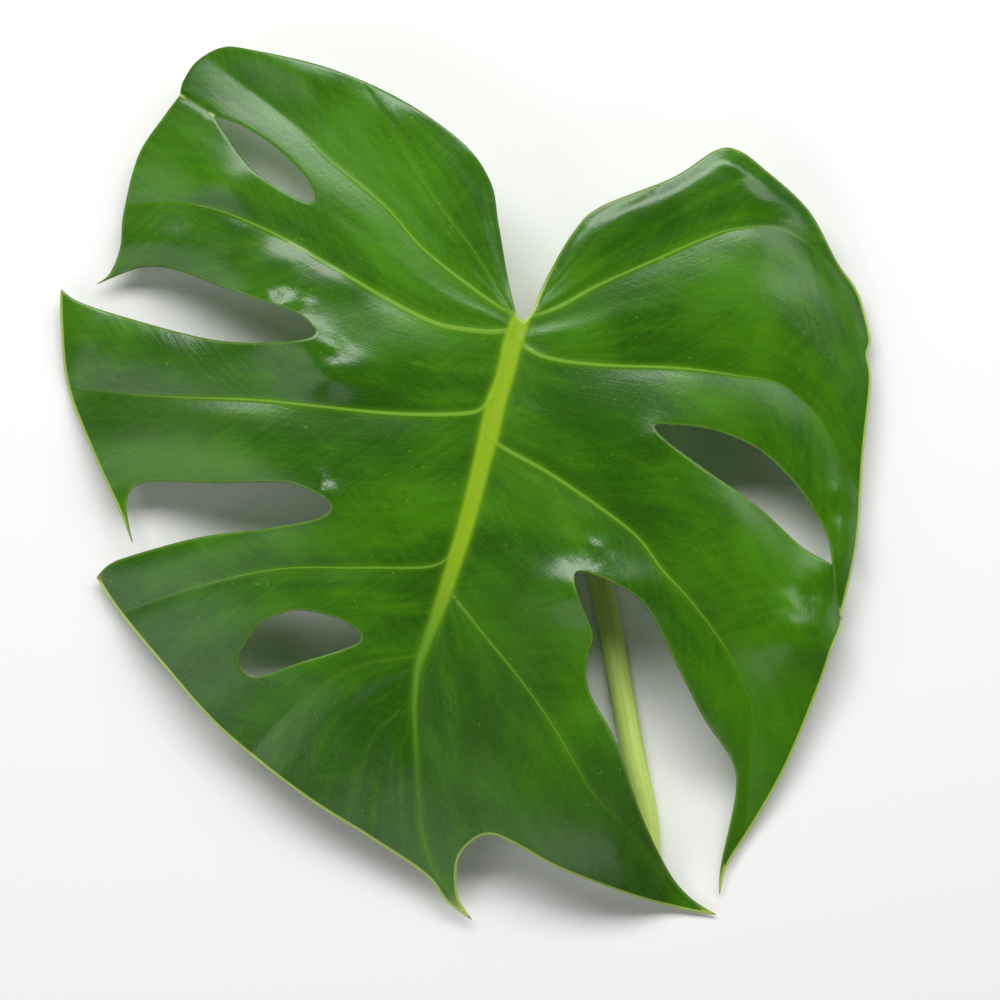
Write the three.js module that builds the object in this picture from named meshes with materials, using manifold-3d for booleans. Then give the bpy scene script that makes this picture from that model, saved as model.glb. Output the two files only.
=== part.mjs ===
// A monstera leaf as picked: one lobed blade and its leaf stalk, lying face up on a flat surface.
// Millimetres, +Z up. The leaf is drawn with the join of blade and stalk at x = 0, y = 0 and the tip
// towards -Y, then moved so that the origin is at the middle of its base.
import * as THREE from "three";
import { mergeVertices } from "three/addons/utils/BufferGeometryUtils.js";
import Module from "manifold-3d";

// Driving dimensions.
const BLADE_THICKNESS = 0.8;
const BLADE_CELL = 9;
const MARGIN_SEGMENTS = 2;

// The crown of the blade: its highest place, how high it lies, and how far it reaches each way
// before the blade comes down to the surface.
const CROWN = { x: -5, y: -45, height: 34.4, left: 139, right: 128, tipward: 150, baseward: 255 };
const CROWN_ROUNDNESS = 1.25;
const TIP_SOFTNESS = 4;
const TIP_CLEARANCE = 0.8;

// The blade arches over the cut end of the stalk.
const ARCH = { x: 36, y: -160, height: 9.5, radius: 34 };

// Lobes turn down along the splits between them, and the blade dips along its midrib.
const SPLIT_DROOP = 4;
const SPLIT_DROOP_WIDTH = 9;
const SPLIT_DROOP_REACH = 30;
const MIDRIB_DIP = 2.5;
const MIDRIB_DIP_WIDTH = 11;

// The midrib stands below the blade: half width and depth where it leaves the stalk and at the tip.
const MIDRIB_BASE = { halfWidth: 3.9, halfDepth: 3.4 };
const MIDRIB_TIP = { halfWidth: 0.8, halfDepth: 0.8 };
const MIDRIB_PROUD = 0.9;
const MIDRIB_TAPER = 0.75;
const MIDRIB_STEPS = 22;
const MIDRIB_SIDES = 8;

// The stalk: a thicker knee under the blade, then a round stalk that lies on the surface.
const KNEE_RADIUS = 4.3;
const KNEE_LENGTH = 0.1;
const STALK_TOP_RADIUS = 3.5;
const STALK_CUT_RADIUS = 4;
const STALK_STEPS = 30;
const STALK_SIDES = 10;
const JOIN_GAP = 0.3;

// The margin, anticlockwise from the bottom of the notch above the stalk. Each stretch starts where
// the one before it ends, and runs smoothly to a sharp tip or corner.
const NOTCH_BOTTOM = [1.5, 1];
const MARGIN = {
  leftBasalLobe: [
    [-1, 2.5], [-4, 14.5], [-7, 32], [-9.5, 45], [-18.5, 57.5], [-38.5, 71.5], [-61, 81.5],
    [-86.5, 88], [-95.5, 89], [-103.5, 85], [-108, 78.5], [-109, 74],
  ],
  upperLeftLobe: [[-114, 67.5], [-122.5, 55], [-127.5, 37], [-128.5, 25.5], [-132, 17], [-136.5, 13.5]],
  upperLeftSplit: [
    [-128, 17], [-120, 19], [-109, 17.5], [-89.5, 10], [-72, 4], [-66, -0.5], [-65, -3.5],
    [-70.5, -5.5], [-86.5, -6], [-102.5, -4], [-128, 3], [-142.5, 8], [-148, 12],
  ],
  middleLeftLobe: [[-148, 1.5], [-146, -19], [-138, -39.5], [-129, -59], [-124.5, -70]],
  lowerLeftSplit: [
    [-126.5, -60], [-125.5, -53.5], [-119, -50], [-99, -50.5], [-75, -50.5], [-64.5, -54], [-60, -58],
    [-64.5, -62], [-80, -65], [-102.5, -68], [-125, -74], [-132.5, -77], [-136.5, -81],
  ],
  lowerLeftLobe: [
    [-129.5, -91.5], [-115, -108.5], [-96, -129.5], [-70.5, -150], [-48, -164.5], [-30.5, -176.5],
    [-23.5, -185.5], [-15.5, -191.5],
  ],
  lowerRightLobe: [
    [-20, -183.5], [-20, -172], [-15.5, -165.5], [-9.5, -163], [-1.5, -166], [13, -174],
    [38.5, -184], [54.5, -188.5], [63.5, -190],
  ],
  lowerRightSplit: [
    [54.5, -184], [47.5, -175], [38.5, -156], [30, -132], [22, -117], [21, -107], [23, -99],
    [19, -88.5], [17, -81.5], [19, -78.5], [29, -82], [40, -90], [51, -110.5], [59, -126],
    [68, -139.5], [69.5, -150.5], [65, -174], [64.5, -183.5],
  ],
  middleRightLobe: [[67, -174], [76, -159.5], [86, -141], [95.5, -117.5], [100.5, -102], [102, -95]],
  upperRightSplit: [
    [100.5, -85], [99, -77.5], [89.5, -70.5], [75, -57.5], [57.5, -45.5], [46, -37], [42.5, -32.5],
    [47.5, -32], [62.5, -34], [77, -40.5], [89.5, -52.5], [98, -66.5], [100.5, -77],
    [101.5, -86.5], [103, -95.5],
  ],
  rightLobes: [
    [106, -82.5], [109, -65.5], [110.5, -41.5], [113, -18], [112, -9], [113, -3.5], [109, 10.5],
    [102, 20.5], [92.5, 37], [78.5, 49.5], [70, 55.5], [62.5, 55.5], [48.5, 46.5], [25.5, 37],
    [17, 29], [8.5, 14.5], [4, 4], [1.5, 1],
  ],
};

// Holes that do not reach the margin, between the two upper left veins and in the lower left lobe.
const UPPER_HOLE = [
  [-98, 67], [-89.5, 64], [-78.5, 57], [-68.5, 47.5], [-65, 40.5], [-67.5, 38.5], [-76, 42.5],
  [-86, 50], [-95.5, 62.5], [-98, 67],
];
const LOWER_HOLE = [
  [-83, -95], [-70.5, -91], [-56, -94.5], [-50.5, -100], [-56, -103.5], [-70.5, -108], [-84.5, -112.5],
  [-90, -106.5], [-83, -95],
];

// The midrib from the stalk to the tip, as seen from above.
const MIDRIB = [
  [0, -1], [-4.7, -16], [-9.7, -34.4], [-14.2, -52.6], [-19.3, -70.8], [-25.2, -89], [-30, -102],
  [-33.7, -121.5], [-33.2, -134], [-32.5, -150], [-31, -163], [-27, -175.5], [-18.5, -188],
];

// The stalk's centre line as seen from above, with its height: down from the join through the knee,
// then along the surface to the cut.
const KNEE = [[0, -5, 14.5], [1.5, -8, 9.5], [5, -16, 5.5]];
const STALK = [[11, -34], [18, -56], [26, -82], [32, -113], [37, -140], [41, -160], [41.5, -177]];

const wasm = await Module();
wasm.setup();

// A surface height that never goes below the ground, and meets it in a soft curve.
function restOnSurface(height) {
  return (height + Math.hypot(height, TIP_SOFTNESS)) / 2 + TIP_CLEARANCE;
}

function crownHeight(x, y) {
  const across = (x - CROWN.x) / (x < CROWN.x ? CROWN.left : CROWN.right);
  const along = (y - CROWN.y) / (y < CROWN.y ? CROWN.tipward : CROWN.baseward);
  return CROWN.height * (1 - (across * across + along * along) ** CROWN_ROUNDNESS);
}

function archHeight(x, y) {
  const away = Math.hypot(x - ARCH.x, y - ARCH.y) / ARCH.radius;
  return ARCH.height * Math.exp(-away * away);
}

// Points along a smooth curve through the given ones.
function smoothLine(points, count) {
  const curve = new THREE.SplineCurve(points.map(([x, y]) => new THREE.Vector2(x, y)));
  return curve.getPoints(count);
}

function distanceTo(line, x, y) {
  return Math.min(...line.map((point) => Math.hypot(point.x - x, point.y - y)));
}

const midribLine = smoothLine(MIDRIB, 120);
const splits = [
  { inner: [-65, -3], edge: smoothLine(MARGIN.upperLeftSplit, 80) },
  { inner: [-60, -58], edge: smoothLine(MARGIN.lowerLeftSplit, 80) },
  { inner: [17, -81], edge: smoothLine(MARGIN.lowerRightSplit, 100) },
  { inner: [43, -32], edge: smoothLine(MARGIN.upperRightSplit, 80) },
];

function splitDroop(x, y) {
  let droop = 0;
  for (const { inner, edge } of splits) {
    const reach = Math.min(1, Math.hypot(x - inner[0], y - inner[1]) / SPLIT_DROOP_REACH);
    droop = Math.max(droop, reach * Math.exp(-distanceTo(edge, x, y) / SPLIT_DROOP_WIDTH));
  }
  return SPLIT_DROOP * droop;
}

function midribDip(x, y) {
  const away = distanceTo(midribLine, x, y) / MIDRIB_DIP_WIDTH;
  return MIDRIB_DIP * Math.exp(-away * away);
}

// The middle of the blade's thickness at a place seen from above.
function bladeHeight(x, y) {
  const free = crownHeight(x, y) + archHeight(x, y) - splitDroop(x, y) - midribDip(x, y);
  return restOnSurface(free);
}

function toSolid(geometry) {
  geometry.deleteAttribute("normal");
  geometry.deleteAttribute("uv");
  const merged = mergeVertices(geometry, 1e-4);
  return new wasm.Manifold(new wasm.Mesh({
    numProp: 3,
    vertProperties: new Float32Array(merged.attributes.position.array),
    triVerts: new Uint32Array(merged.index.array),
  }));
}

function fromSolid(solid) {
  const mesh = solid.getMesh();
  const geometry = new THREE.BufferGeometry();
  geometry.setAttribute("position", new THREE.BufferAttribute(mesh.vertProperties, 3));
  geometry.setIndex(new THREE.BufferAttribute(mesh.triVerts, 1));
  geometry.computeVertexNormals();
  return geometry;
}

// A bar bent along a curve, closed with flat ends. size(t) gives its half width and half depth at a
// fraction t of its length.
function bentBar(curve, size, steps, sides) {
  const bar = new THREE.CylinderGeometry(1, 1, 1, sides, steps);
  const position = bar.attributes.position;
  for (let i = 0; i < position.count; i += 1) {
    const t = Math.min(1, Math.max(0, position.getY(i) + 0.5));
    const tangent = curve.getTangentAt(t);
    const side = new THREE.Vector3(1, 0, 0).addScaledVector(tangent, -tangent.x).normalize();
    const depth = new THREE.Vector3().crossVectors(side, tangent);
    const { halfWidth, halfDepth } = size(t);
    const point = curve.getPointAt(t);
    point.addScaledVector(side, position.getX(i) * halfWidth);
    point.addScaledVector(depth, position.getZ(i) * halfDepth);
    position.setXYZ(i, point.x, point.y, point.z);
  }
  return bar;
}

function marginShape() {
  const shape = new THREE.Shape();
  shape.moveTo(...NOTCH_BOTTOM);
  for (const stretch of Object.values(MARGIN)) {
    shape.splineThru(stretch.map(([x, y]) => new THREE.Vector2(x, y)));
  }
  for (const hole of [UPPER_HOLE, LOWER_HOLE]) {
    const path = new THREE.Path();
    path.moveTo(...hole[0]);
    path.splineThru(hole.slice(1).map(([x, y]) => new THREE.Vector2(x, y)));
    shape.holes.push(path);
  }
  return shape;
}

// A thin sheet that follows the blade's height, larger all round than the margin.
function bladeSheet(box) {
  const size = box.getSize(new THREE.Vector2()).addScalar(2 * BLADE_CELL);
  const middle = box.getCenter(new THREE.Vector2());
  const columns = Math.ceil(size.x / BLADE_CELL);
  const rows = Math.ceil(size.y / BLADE_CELL);
  const sheet = new THREE.BoxGeometry(size.x, size.y, BLADE_THICKNESS, columns, rows, 1);
  sheet.translate(middle.x, middle.y, 0);
  const position = sheet.attributes.position;
  for (let i = 0; i < position.count; i += 1) {
    position.setZ(i, position.getZ(i) + bladeHeight(position.getX(i), position.getY(i)));
  }
  return toSolid(sheet);
}

function midribSize(t) {
  const left = (1 - t) ** MIDRIB_TAPER;
  return {
    halfWidth: MIDRIB_TIP.halfWidth + (MIDRIB_BASE.halfWidth - MIDRIB_TIP.halfWidth) * left,
    halfDepth: MIDRIB_TIP.halfDepth + (MIDRIB_BASE.halfDepth - MIDRIB_TIP.halfDepth) * left,
  };
}

function midribBar() {
  const last = MIDRIB.length - 1;
  const points = MIDRIB.map(([x, y], i) => {
    const top = bladeHeight(x, y) + BLADE_THICKNESS / 2 + MIDRIB_PROUD;
    return new THREE.Vector3(x, y, top - midribSize(i / last).halfDepth);
  });
  const curve = new THREE.CatmullRomCurve3(points);
  return toSolid(bentBar(curve, midribSize, MIDRIB_STEPS, MIDRIB_SIDES));
}

function blade() {
  const shape = marginShape();
  const outline = shape.getPoints(MARGIN_SEGMENTS);
  const box = new THREE.Box2().setFromPoints(outline);
  const tall = 2 * CROWN.height;
  const prism = new THREE.ExtrudeGeometry(shape, {
    depth: 2 * tall, bevelEnabled: false, curveSegments: MARGIN_SEGMENTS,
  });
  prism.translate(0, 0, -tall);
  return fromSolid(bladeSheet(box).intersect(toSolid(prism)).add(midribBar()));
}

function stalkSize(t) {
  const knee = Math.max(0, 1 - t / KNEE_LENGTH);
  const round = STALK_TOP_RADIUS + (STALK_CUT_RADIUS - STALK_TOP_RADIUS) * t;
  const radius = round + (KNEE_RADIUS - STALK_TOP_RADIUS) * Math.sqrt(knee);
  return { halfWidth: radius, halfDepth: radius };
}

function stalk() {
  const [joinX, joinY] = [0, -4.5];
  const underMidrib = bladeHeight(joinX, joinY) + BLADE_THICKNESS / 2 + MIDRIB_PROUD
    - 2 * MIDRIB_BASE.halfDepth - JOIN_GAP;
  const points = [new THREE.Vector3(joinX, joinY, underMidrib)];
  for (const [x, y, z] of KNEE) {
    points.push(new THREE.Vector3(x, y, z));
  }
  for (const [x, y] of STALK) {
    points.push(new THREE.Vector3(x, y, STALK_CUT_RADIUS));
  }
  const curve = new THREE.CatmullRomCurve3(points);
  return bentBar(curve, stalkSize, STALK_STEPS, STALK_SIDES);
}

const bladeMaterial = new THREE.MeshStandardMaterial({ color: 0x2f6b12, roughness: 0.4, metalness: 0 });
const stalkMaterial = new THREE.MeshStandardMaterial({ color: 0x9cbd4a, roughness: 0.5, metalness: 0 });

const bladeMesh = new THREE.Mesh(blade(), bladeMaterial);
bladeMesh.name = "leaf_blade";
const stalkMesh = new THREE.Mesh(stalk(), stalkMaterial);
stalkMesh.name = "leaf_stalk";

const group = new THREE.Group();
group.add(bladeMesh, stalkMesh);

// The origin goes to the middle of the leaf's base.
const whole = new THREE.Box3().setFromObject(group);
const centre = whole.getCenter(new THREE.Vector3());
group.position.set(-centre.x, -centre.y, -whole.min.z);

export default group;
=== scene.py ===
"""A monstera leaf as picked, lying face up: its split blade and its round stalk.

Laid out as an add-on and run as a script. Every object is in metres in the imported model's frame.
"""

import math

import bpy
import numpy as np
from mathutils import Matrix, Vector, geometry, kdtree


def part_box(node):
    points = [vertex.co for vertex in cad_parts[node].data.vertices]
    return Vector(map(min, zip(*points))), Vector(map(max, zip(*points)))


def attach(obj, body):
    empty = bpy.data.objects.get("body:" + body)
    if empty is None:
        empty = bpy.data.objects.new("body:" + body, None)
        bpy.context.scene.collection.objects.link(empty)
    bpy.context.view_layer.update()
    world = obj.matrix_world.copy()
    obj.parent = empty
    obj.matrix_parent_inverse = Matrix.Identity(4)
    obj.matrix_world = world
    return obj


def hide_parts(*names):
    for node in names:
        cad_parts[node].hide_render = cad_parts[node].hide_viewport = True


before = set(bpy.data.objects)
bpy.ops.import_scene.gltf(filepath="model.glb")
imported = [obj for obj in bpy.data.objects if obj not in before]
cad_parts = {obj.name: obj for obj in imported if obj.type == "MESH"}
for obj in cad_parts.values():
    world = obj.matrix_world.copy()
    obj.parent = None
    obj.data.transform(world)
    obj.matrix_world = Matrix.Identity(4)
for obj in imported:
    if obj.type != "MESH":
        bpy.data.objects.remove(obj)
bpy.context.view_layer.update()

bl_info = {
    "name": "Monstera leaf",
    "version": (1, 0, 0),
    "blender": (4, 5, 0),
    "location": "View3D > Sidebar > Leaf",
    "description": "Makes a split monstera leaf on its stalk, and a plain stage for it",
    "category": "Add Mesh",
}

MM = 0.001

# ---------------------------------------------------------------------------------------------
# The leaf as drawn, in millimetres: the stalk joins the blade at 0, 0 and the tip is towards -Y.
# ---------------------------------------------------------------------------------------------

NOTCH_BOTTOM = (1.5, 1)
UPPER_LEFT_SPLIT = [
    (-136.5, 13.5), (-128, 17), (-120, 19), (-109, 17.5), (-89.5, 10), (-72, 4), (-66, -0.5),
    (-65, -3.5), (-70.5, -5.5), (-86.5, -6), (-102.5, -4), (-128, 3), (-142.5, 8), (-148, 12),
]
LOWER_LEFT_SPLIT = [
    (-124.5, -70), (-126.5, -60), (-125.5, -53.5), (-119, -50), (-99, -50.5), (-75, -50.5),
    (-64.5, -54), (-60, -58), (-64.5, -62), (-80, -65), (-102.5, -68), (-125, -74), (-132.5, -77),
    (-136.5, -81),
]
LOWER_RIGHT_SPLIT = [
    (63.5, -190), (54.5, -184), (47.5, -175), (38.5, -156), (30, -132), (22, -117), (21, -107),
    (23, -99), (19, -88.5), (17, -81.5), (19, -78.5), (29, -82), (40, -90), (51, -110.5),
    (59, -126), (68, -139.5), (69.5, -150.5), (65, -174), (64.5, -183.5),
]
UPPER_RIGHT_SPLIT = [
    (102, -95), (100.5, -85), (99, -77.5), (89.5, -70.5), (75, -57.5), (57.5, -45.5), (46, -37),
    (42.5, -32.5), (47.5, -32), (62.5, -34), (77, -40.5), (89.5, -52.5), (98, -66.5), (100.5, -77),
    (101.5, -86.5), (103, -95.5),
]
# The margin in order, anticlockwise from the bottom of the notch above the stalk.
MARGIN = [
    [NOTCH_BOTTOM, (-1, 2.5), (-4, 14.5), (-7, 32), (-9.5, 45), (-18.5, 57.5), (-38.5, 71.5),
     (-61, 81.5), (-86.5, 88), (-95.5, 89), (-103.5, 85), (-108, 78.5), (-109, 74)],
    [(-109, 74), (-114, 67.5), (-122.5, 55), (-127.5, 37), (-128.5, 25.5), (-132, 17),
     (-136.5, 13.5)],
    UPPER_LEFT_SPLIT,
    [(-148, 12), (-148, 1.5), (-146, -19), (-138, -39.5), (-129, -59), (-124.5, -70)],
    LOWER_LEFT_SPLIT,
    [(-136.5, -81), (-129.5, -91.5), (-115, -108.5), (-96, -129.5), (-70.5, -150), (-48, -164.5),
     (-30.5, -176.5), (-23.5, -185.5), (-15.5, -191.5)],
    [(-15.5, -191.5), (-20, -183.5), (-20, -172), (-15.5, -165.5), (-9.5, -163), (-1.5, -166),
     (13, -174), (38.5, -184), (54.5, -188.5), (63.5, -190)],
    LOWER_RIGHT_SPLIT,
    [(64.5, -183.5), (67, -174), (76, -159.5), (86, -141), (95.5, -117.5), (100.5, -102),
     (102, -95)],
    UPPER_RIGHT_SPLIT,
    [(103, -95.5), (106, -82.5), (109, -65.5), (110.5, -41.5), (113, -18), (112, -9), (113, -3.5),
     (109, 10.5), (102, 20.5), (92.5, 37), (78.5, 49.5), (70, 55.5), (62.5, 55.5), (48.5, 46.5),
     (25.5, 37), (17, 29), (8.5, 14.5), (4, 4), NOTCH_BOTTOM],
]
UPPER_HOLE = [
    (-98, 67), (-89.5, 64), (-78.5, 57), (-68.5, 47.5), (-65, 40.5), (-67.5, 38.5), (-76, 42.5),
    (-86, 50), (-95.5, 62.5), (-98, 67),
]
LOWER_HOLE = [
    (-83, -95), (-70.5, -91), (-56, -94.5), (-50.5, -100), (-56, -103.5), (-70.5, -108),
    (-84.5, -112.5), (-90, -106.5), (-83, -95),
]
STRETCHES = [*MARGIN, UPPER_HOLE, LOWER_HOLE]
# Each split with the place of its inner end, from which its edges turn down more and more.
SPLITS = [
    ((-65, -3), UPPER_LEFT_SPLIT),
    ((-60, -58), LOWER_LEFT_SPLIT),
    ((17, -81), LOWER_RIGHT_SPLIT),
    ((43, -32), UPPER_RIGHT_SPLIT),
]

MIDRIB = [
    (0, 1), (-2.6, -7), (-4.7, -16), (-7.7, -25.3), (-9.7, -34.4), (-12, -43.5), (-14.2, -52.6),
    (-16.6, -61.7), (-19.3, -70.8), (-22.2, -80), (-25.2, -89), (-30, -102), (-32.6, -110),
    (-33.7, -121.5), (-33.2, -134), (-32.5, -150), (-31, -163), (-27, -175.5), (-17.5, -189),
]
# Half width of the pale midrib at shares of its length.
MIDRIB_HALF_WIDTHS = [
    (0, 3.0), (0.04, 3.2), (0.09, 2.9), (0.15, 3.3), (0.19, 3.3), (0.23, 2.9), (0.37, 2.6),
    (0.46, 2.2), (0.53, 1.5), (0.6, 0.9), (0.69, 0.55), (0.85, 0.4), (1, 0.5),
]
# Shares of a side vein's length between which it fades, on the left and on the right.
VEIN_FADE = {-1: (0.55, 1.0), 1: (0.4, 0.85)}
# Side veins, from the notch to the tip: their path, their half width at the midrib, and how far
# they show, from 0 to 1.
LEFT_VEINS = [
    ([(-3, 4), (-14, 22), (-25.5, 37), (-36, 53), (-44.5, 67), (-50, 78)], 0.35, 0.35),
    ([(-2.5, 3), (-13.5, 10), (-30.5, 23.5), (-41.7, 36.2), (-53, 46), (-61.5, 53), (-71.5, 63),
      (-86, 75)], 0.65, 0.85),
    ([(-3, -2), (-8.5, -2.7), (-17.5, -1.9), (-26.5, 0), (-38.9, 6), (-58.7, 17.5), (-75.6, 27.5),
      (-91, 34.6), (-102.5, 38.2), (-113, 39.5), (-126, 39)], 0.9, 1.0),
    ([(-9, -23), (-13.5, -27.8), (-26.6, -28.9), (-44.8, -28.2), (-64, -26.2), (-85.5, -24),
      (-107, -23.2), (-126, -22), (-144, -20)], 0.8, 1.0),
    ([(-19.5, -70), (-23.5, -75), (-31, -77.4), (-51, -77.5), (-77, -78), (-102.5, -83.5),
      (-128, -92)], 0.55, 0.75),
    ([(-31, -105.5), (-48, -108), (-61, -113.5), (-75, -125), (-86, -137)], 0.3, 0.25),
    ([(-33, -121.5), (-43, -127), (-49, -137), (-53, -160)], 0.3, 0.2),
]
RIGHT_VEINS = [
    ([(3, 4), (19, 21), (32, 33.5), (42, 42)], 0.3, 0.12),
    ([(2.3, 2), (12.3, 5.2), (24.8, 12.2), (43.5, 20.6), (58.5, 27.3), (68.5, 30.5), (81, 31.2),
      (91, 27), (101, 18.7), (108, 9)], 0.7, 0.85),
    ([(0, -5), (2.6, -8.2), (9.8, -11.2), (24.8, -13.1), (49.8, -14), (68.5, -16.2), (81, -18.1),
      (88.5, -22.5), (96, -30), (104, -44)], 0.75, 0.95),
    ([(-10, -36), (-4.8, -39.8), (10, -48), (28.2, -60.5), (38, -68.5), (45, -78), (53.4, -87),
      (62, -98), (68.2, -107.5), (72, -116), (74.5, -126), (73, -160)], 0.75, 0.85),
    ([(-24, -83), (-20.9, -86.9), (-11.5, -98.8), (-1.3, -111.3), (9.3, -126), (17, -139),
      (22.5, -148.5), (29.5, -156.5), (38, -165), (55, -184)], 0.5, 0.6),
]
# The narrow end of the upper right split, where the strip outside it laps over the lobe.
SLIT = [(97.5, -66.5), (99.7, -77), (101, -86), (102.5, -95.5)]
LAP_STRIP = {"shift": -0.3, "lift": 0.9}
LAP_LOBE = {"shift": 1.7, "lift": -0.9}
# A fold left where the upper hole nearly tore through to the margin.
TEAR_FOLD = [(-109, 74), (-103, 70.5), (-98, 67)]
# Tips of the lobes: place, how far from it the blade is yellow, and how brown its end is.
TIPS = [
    ((-136.5, 13.5), 1, 0.3), ((-148, 12), 1, 0.8), ((-124.5, -70), 1, 0.5), ((-136.5, -81), 1, 0.6),
    ((-15.5, -191.5), 10, 0.9), ((63.5, -190), 5, 0.9), ((64.5, -183.5), 8, 0.7),
]
# Patches where grey sheen is painted into the upper face's colour: middle, and radius across and along
# the leaf.
PAINTED_SHEEN_PATCHES = [((30, -158), (30, 24)), ((-6, -125), (16, 30)), ((-118, -28), (26, 14))]
# Where streaks that slant away from the side veins show most: middle and radii.
FEATHERED = [
    ((-108, -8), (40, 16)), ((-100, -38), (36, 14)), ((2, -135), (20, 32)), ((-110, 30), (16, 10)),
]
# How far the pale rim shows on each stretch of the margin, then on the two holes.
RIM_SHOW = [0.12, 0.5, 0.12, 0.7, 0.12, 1.0, 0.8, 0.12, 1.0, 0.12, 0.9, 0.1, 0.1]
# Where the blade swells or sinks a little: middle, height, and radius across and along the leaf.
SWELLS = [
    ((-83, 3), 1.9, (10, 5)), ((-72, -4), 2.7, (9, 6)), ((-60, -16), 3.8, (12, 8)),
    ((-88, 32), 1.3, (11, 6)), ((-70, 21), 0.9, (10, 6)), ((-57, 14), 1.0, (10, 6)),
    ((-61, 80), 1.5, (17, 9)), ((-35, 68), 1.4, (14, 9)), ((81, 28), 1.1, (15, 8)),
    ((-64, -56), 1.9, (7, 4)), ((23, -85), 4.6, (18, 9)), ((42, -37), 1.1, (5, 5)),
    ((92, -100), 4.8, (17, 11)), ((102, -73), 3.4, (7, 10)), ((102, -55), 1.2, (6, 9)),
    ((78, 40), 1.2, (9, 5)), ((-64, -112), 0.8, (16, 6)), ((-38, -140), 0.8, (5, 12)),
    ((-94, 44), 2.5, (12, 9)), ((-116, 27), 1.6, (11, 7)), ((-82, 92), 2.8, (20, 14)),
]
# Where it is crumpled: middle and radius.
CRUMPLES = [
    ((92, -90), 13), ((101, -62), 10), ((-61, -9), 8), ((22, -74), 9), ((-72, 8), 8),
    ((72, 47), 9), ((44, -162), 10), ((-62, -51), 5),
]
# Patches where a glow of light shining through the blade is painted into the upper face, towards its
# fresher green: middle, and radius across and along the leaf.
PAINTED_GLOW_PATCHES = [
    ((-38, 48), (22, 30)), ((-112, 50), (12, 14)), ((-100, 8), (30, 6)), ((80, -75), (22, 16)),
    ((76, -120), (14, 30)), ((-28, -60), (26, 7)), ((24, -100), (12, 14)), ((74, 6), (28, 24)),
    ((-110, -46), (24, 7)), ((-60, -70), (20, 5)),
]

# The blade's main form: a low crown that falls to the surface, and an arch near the right tip.
CROWN = {"x": -5, "y": -45, "height": 33, "left": 139, "right": 128, "tipward": 150, "baseward": 255}
CROWN_ROUNDNESS = 1.25
ARCH = {"x": 36, "y": -160, "height": 9.5, "radius": 34}
TIP_SOFTNESS = 4
TIP_CLEARANCE = 0.8
SPLIT_DROOP = 4
SPLIT_DROOP_WIDTH = 9
SPLIT_DROOP_REACH = 42
MIDRIB_DIP = 2.5
MIDRIB_DIP_WIDTH = 8

# The blade swells between its side veins. NOTCH_RISE is the swell beside the notch on each side.
PILLOW_SPACING = 55
PILLOW_GROWS = (3, 38)
NOTCH_RISE = {-1: 0.3, 1: 0.6}
# The guides that the pillows and streaks follow leave a vein this many steps from its start, and
# run on straight past its ends.
FLARE = 4
EXTENDED = 60
# Stretches of the margin that roll down: the stretch, how deep, and where along the leaf it fades.
ROLLS = ((MARGIN[-1], 1.6, (300, 200)), (MARGIN[0], 2.4, (55, 40)))
ROLL_WIDTH = 4.2
ROLL_STARTS = (3, 15)
# Waves that run with the side veins: height, length, how many between two veins, and a seed.
WAVES = ((0.3, 34, 3.2, 11), (0.11, 17, 7, 12))
# Folds of the crumpled places: height, length across and along for each of two ways, and a seed.
FOLDS = ((0.6, (7, 16), (-20, 6), 13), (0.22, (2.8, 5), (math.inf, 3.1), 14))
TEAR_DEPTH = 0.5
TEAR_WIDTH = 0.8

# The section of the blade: its thinned edge, and how the midrib and the side veins stand out.
EDGE_ROUND = 0.9
EDGE_SHARE = 0.4
EDGE_BULGE = 0.14
BEAD_HEIGHT = 0.5
GUTTER_DEPTH = 0.15
GUTTER_WIDTH = 0.7
RIDGE_HEIGHT = 0.2
RIB_DEPTH = (0.8, 4.6)
RIB_EDGE = 2.5

# Rows of mesh points beside the margin, the midrib, the torn fold and the side veins.
RIM_SPACING = 0.25
RIM_ROWS = (0.4, 1.1)
MIDRIB_ROWS = (0, 1.0, 2.2, 3.4, 4.6)
FOLD_ROWS = (0, 0.4, 0.9)
VEIN_ROWS = (0, 0.5, 1.3)
LEAST_GAP = 0.42

KNEE = [(0, -5, 14.5), (1.5, -8, 9.5), (5, -16, 5.5)]
STALK = [(11, -34), (18, -56), (26, -82), (32, -113), (37, -140), (41, -160), (41.5, -177)]
STALK_START = (0, -4.5)
STALK_START_RISE = 1.5
# The cut face stands proud of the stalk's flat end, and starts a little inside it.
CUT_PROUD = 0.00006
CUT_INSET = 0.0001
CUT_SHARE = 0.93

# Each light's place in metres, its size, and its power as a share of the window's.
LIGHTS = {
    "window": ((-0.05, 1.08, 1.25), (2.0, 0.62), 1),
    "left_wall": ((-1.2, -0.5, 0.9), (1.2, 1.0), 0.15),
    "front_wall": ((0.02, -1.5, 1.05), (1.5, 0.8), 0.13),
    "right_pane": ((1.25, 0.72, 0.9), (0.85, 0.65), 0.16),
}
# What the camera looks down on, in the drawn leaf's frame.
VIEW_MIDDLE = (-6.4, -56)
VIEW_HEIGHT = 0.018
SENSOR_WIDTH = 36


# ---------------------------------------------------------------------------------------------
# Lines and distances
# ---------------------------------------------------------------------------------------------

def smooth_line(points, spacing):
    """Evenly spaced points along a smooth curve through the given ones, both ends kept."""
    p = np.array(points, float)
    fine = []
    for i in range(len(p) - 1):
        before, start, end, after = p[max(i - 1, 0)], p[i], p[i + 1], p[min(i + 2, len(p) - 1)]
        t = np.linspace(0, 1, 24, endpoint=False)[:, None]
        leave, arrive = (end - before) / 2, (after - start) / 2
        fine.append(
            (2 * start - 2 * end + leave + arrive) * t**3
            + (3 * end - 3 * start - 2 * leave - arrive) * t**2 + leave * t + start
        )
    fine = np.vstack([*fine, p[-1:]])
    along = np.concatenate([[0], np.cumsum(np.linalg.norm(np.diff(fine, axis=0), axis=1))])
    count = max(2, round(along[-1] / spacing) + 1)
    even = np.linspace(0, along[-1], count)
    return np.stack([np.interp(even, along, fine[:, k]) for k in range(p.shape[1])], 1)


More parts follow.
